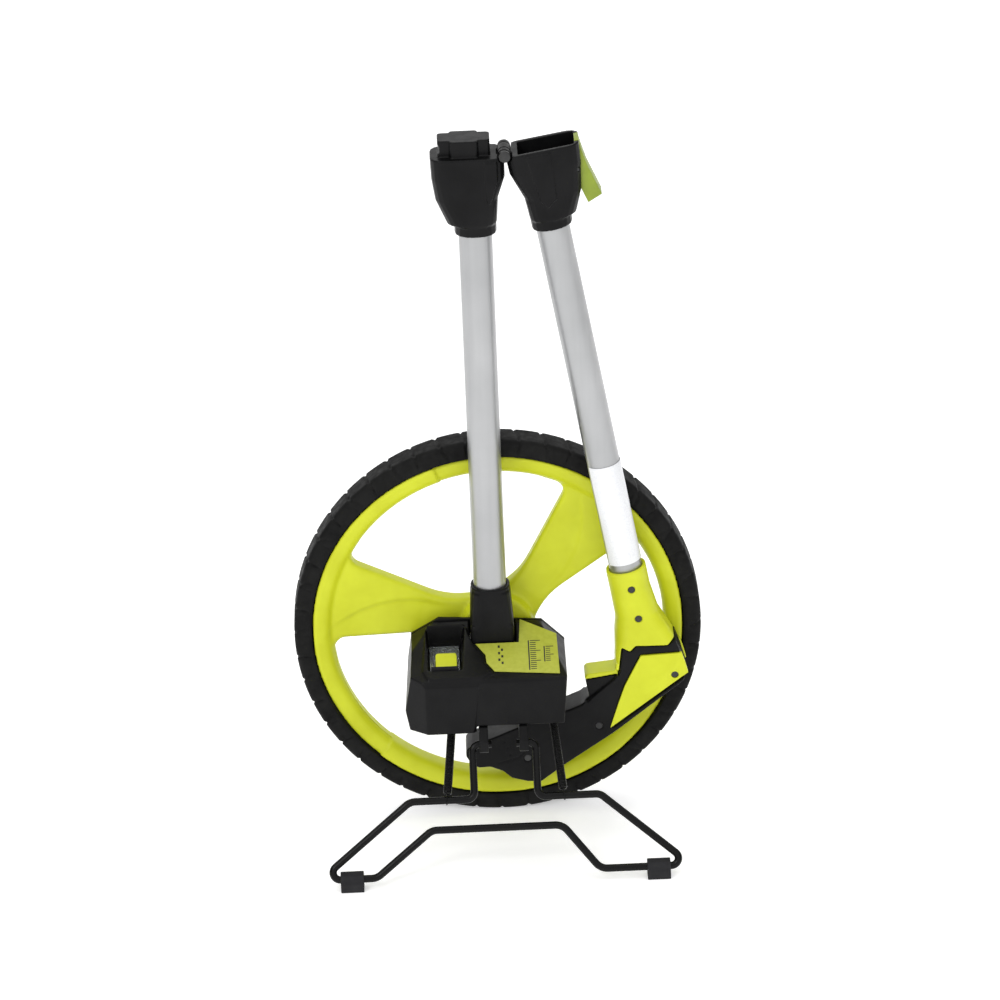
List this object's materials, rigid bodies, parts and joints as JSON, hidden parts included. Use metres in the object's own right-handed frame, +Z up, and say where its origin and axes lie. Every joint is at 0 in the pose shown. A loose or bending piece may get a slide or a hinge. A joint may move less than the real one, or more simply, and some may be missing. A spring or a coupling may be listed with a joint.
{
  "type": "measuring wheel",
  "caption": "Folding distance-measuring wheel: spoked wheel, geared counter housing, two-piece tube handle folded at a latch hinge, pistol grip and wire stand.",
  "frame": {"origin": "where the tyre meets the ground, straight under the axle and midway between the wheel's two sides", "axes": "+X along the rolling direction, -Y towards the side with the counter, +Z up"},
  "size_m": [0.3184, 0.1677, 0.5752],
  "materials": {
    "lime_plastic": "satin moulded",
    "black_plastic": "fine moulded texture",
    "drum_plastic": "satin with printed white digits",
    "white_plastic": "satin moulded",
    "tyre_rubber": "matt with moulded tread",
    "foot_rubber": "matt",
    "anodised_aluminium": "satin anodised",
    "steel": "zinc plated",
    "black_wire": "glossy black coat",
    "brass": "satin",
    "clear_lens": "polished clear plastic",
    "label_film": "printed film",
    "reflective_film": "retroreflective"
  },
  "bodies": {
    "frame": {"housing_cover": "black_plastic", "housing_back_plate": "black_plastic", "tube_socket": "black_plastic", "axle_bush_back": "brass", "axle_bush_front": "brass", "idler_pin": "steel", "counter_frame": "steel", "label_plate": "label_film", "window_lens": "clear_lens", "reset_bracket": "steel", "reset_spring": "steel", "housing_screw_1": "steel", "housing_screw_2": "steel", "housing_screw_3": "steel", "housing_screw_4": "steel", "lower_tube": "anodised_aluminium", "lower_connector": "black_plastic", "hinge_pin": "steel", "stand_bracket_left": "black_plastic", "stand_bracket_right": "black_plastic", "stand_hook_left": "black_wire", "stand_hook_right": "black_wire", "stand_spring_left": "black_wire", "stand_spring_right": "black_wire"},
    "wheel": {"tyre": "tyre_rubber", "wheel_rim_and_spokes": "lime_plastic", "axle": "steel", "hub_washer": "steel", "axle_nut": "steel", "drive_gear": "white_plastic"},
    "idler": {"idler_gear": "white_plastic"},
    "counter_input": {"counter_gear": "white_plastic", "counter_shaft": "steel", "digit_drum_1": "drum_plastic"},
    "drum_2": {"digit_drum_2": "drum_plastic"},
    "drum_3": {"digit_drum_3": "drum_plastic"},
    "drum_4": {"digit_drum_4": "drum_plastic"},
    "drum_5": {"digit_drum_5": "drum_plastic"},
    "reset": {"reset_button": "lime_plastic"},
    "arm": {"upper_connector": "black_plastic", "latch_pin": "steel", "latch_spring": "steel", "upper_tube": "anodised_aluminium", "reflector_band": "reflective_film", "neck_shell_front": "lime_plastic", "neck_shell_back": "lime_plastic", "handle_shell_front": "black_plastic", "handle_shell_back": "black_plastic", "heel_panel_front": "lime_plastic", "heel_panel_back": "lime_plastic", "grip_screw_1": "steel", "grip_screw_2": "steel", "grip_screw_3": "steel", "grip_screw_4": "steel", "grip_screw_5": "steel"},
    "latch": {"latch_lever": "lime_plastic"},
    "stand": {"kickstand": "black_wire", "stand_foot_left": "foot_rubber", "stand_foot_right": "foot_rubber"}
  },
  "joints": [
    {"name": "wheel_spin", "type": "hinge", "parent": "frame", "child": "wheel", "pos_m": [0, -0.031, 0.15915], "axis": [0, 1, 0], "continuous": true},
    {"name": "idler_spin", "type": "hinge", "parent": "frame", "child": "idler", "pos_m": [-0.02003, -0.031, 0.14745], "axis": [0, 1, 0], "continuous": true},
    {"name": "counter_spin", "type": "hinge", "parent": "frame", "child": "counter_input", "pos_m": [-0.04249, -0.031, 0.14164], "axis": [0, 1, 0], "continuous": true},
    {"name": "drum_2_spin", "type": "hinge", "parent": "frame", "child": "drum_2", "pos_m": [-0.04249, -0.031, 0.14164], "axis": [0, 1, 0], "continuous": true},
    {"name": "drum_3_spin", "type": "hinge", "parent": "frame", "child": "drum_3", "pos_m": [-0.04249, -0.031, 0.14164], "axis": [0, 1, 0], "continuous": true},
    {"name": "drum_4_spin", "type": "hinge", "parent": "frame", "child": "drum_4", "pos_m": [-0.04249, -0.031, 0.14164], "axis": [0, 1, 0], "continuous": true},
    {"name": "drum_5_spin", "type": "hinge", "parent": "frame", "child": "drum_5", "pos_m": [-0.04249, -0.031, 0.14164], "axis": [0, 1, 0], "continuous": true},
    {"name": "reset_press", "type": "slide", "parent": "frame", "child": "reset", "axis": [0, 0, -1], "range_m": [0, 0.003], "stiffness_N_per_m": 300, "springref_m": -0.003, "deforming": ["reset_spring"]},
    {"name": "arm_fold", "type": "hinge", "parent": "frame", "child": "arm", "pos_m": [0.019, -0.031, 0.56256], "axis": [0, -1, 0], "range_deg": [0, 170.6]},
    {"name": "latch_press", "type": "hinge", "parent": "arm", "child": "latch", "pos_m": [0.07332, -0.031, 0.54975], "axis": [0, 1, 0], "range_deg": [0, 5], "stiffness_Nm_per_rad": 0.2, "springref_deg": -11.46, "deforming": ["latch_spring"]},
    {"name": "stand_swing", "type": "hinge", "parent": "frame", "child": "stand", "pos_m": [0.003, -0.094, 0.09816], "axis": [-1, 0, 0], "range_deg": [0, 154], "deforming": ["stand_spring_left", "stand_spring_right"]}
  ],
  "couplings": [
    {"joint": "idler_spin", "follows": "wheel_spin", "ratio": -1},
    {"joint": "counter_spin", "follows": "wheel_spin", "ratio": 1},
    {"joint": "drum_2_spin", "follows": "wheel_spin", "ratio": 0.1},
    {"joint": "drum_3_spin", "follows": "wheel_spin", "ratio": 0.01},
    {"joint": "drum_4_spin", "follows": "wheel_spin", "ratio": 0.001},
    {"joint": "drum_5_spin", "follows": "wheel_spin", "ratio": 0.0001}
  ]
}
